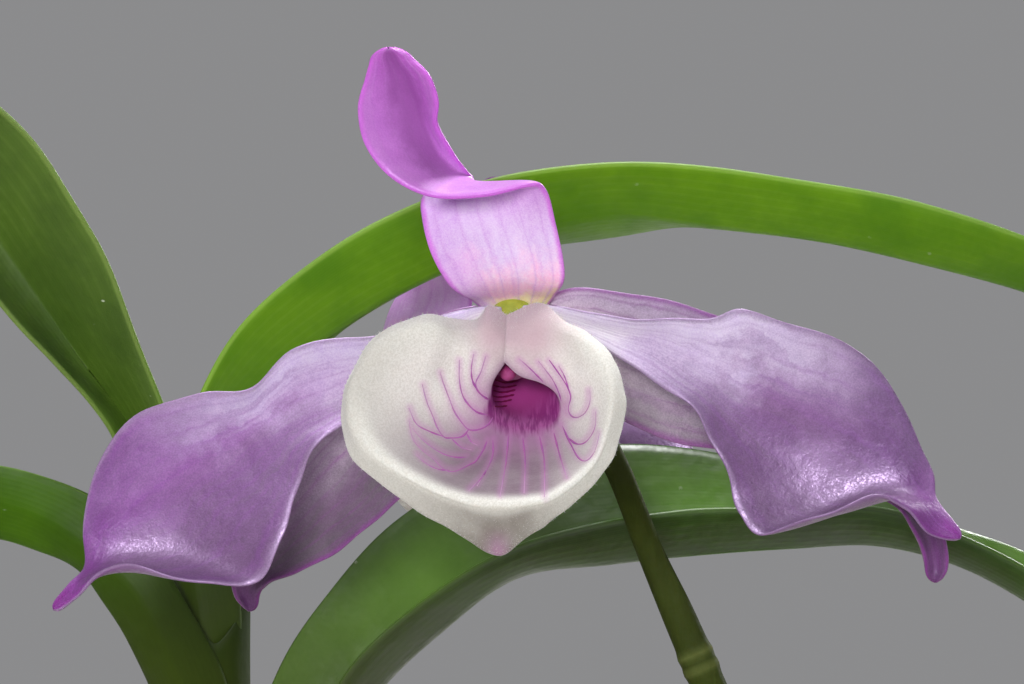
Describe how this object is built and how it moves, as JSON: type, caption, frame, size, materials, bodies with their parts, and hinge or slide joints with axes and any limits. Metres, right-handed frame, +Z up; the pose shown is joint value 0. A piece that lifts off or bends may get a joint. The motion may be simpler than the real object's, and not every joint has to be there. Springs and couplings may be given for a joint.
{
  "type": "potted orchid",
  "caption": "Dendrobium orchid in a round clay pot of bark: jointed canes, arching strap leaves, and flowers with twisted lilac petals and a white trumpet lip.",
  "frame": {"origin": "centre of the pot's flat underside", "axes": "+Z up the plant, -Y towards the side that the first flower faces"},
  "size_m": [0.1828, 0.1801, 0.2935],
  "materials": {
    "clay": "unglazed clay, matt",
    "bark": "rough bark chips",
    "root": "dry and papery",
    "cane": "smooth and grooved",
    "leaf": "waxy",
    "stalk": "smooth",
    "petal": "soft sheen",
    "lip": "downy",
    "column": "waxy",
    "cap": "waxy"
  },
  "bodies": {
    "root": {"pot": "clay", "bark": "bark", "root_front": "root", "root_left": "root", "root_right": "root", "leafy_cane": "cane", "flowering_cane": "cane", "front_cane": "cane", "back_cane": "cane", "young_cane": "cane", "old_cane": "cane", "front_leaf_low": "leaf", "flowering_leaf_right": "leaf", "flowering_leaf_back": "leaf", "back_leaf_top": "leaf", "back_leaf_right": "leaf", "back_leaf_left": "leaf", "young_leaf_top": "leaf", "young_leaf_right": "leaf", "young_leaf_front": "leaf", "arching_leaf": "leaf", "upper_left_leaf": "leaf", "lower_left_leaf": "leaf", "lower_leaf": "leaf", "first_dorsal_sepal": "petal", "first_left_petal": "petal", "first_right_petal": "petal", "first_left_sepal": "petal", "first_right_sepal": "petal", "first_lip": "lip", "first_column": "column", "first_anther_cap": "cap", "first_stalk": "stalk", "second_dorsal_sepal": "petal", "second_left_petal": "petal", "second_right_petal": "petal", "second_left_sepal": "petal", "second_right_sepal": "petal", "second_lip": "lip", "second_column": "column", "second_anther_cap": "cap", "second_stalk": "stalk"}
  },
  "joints": []
}
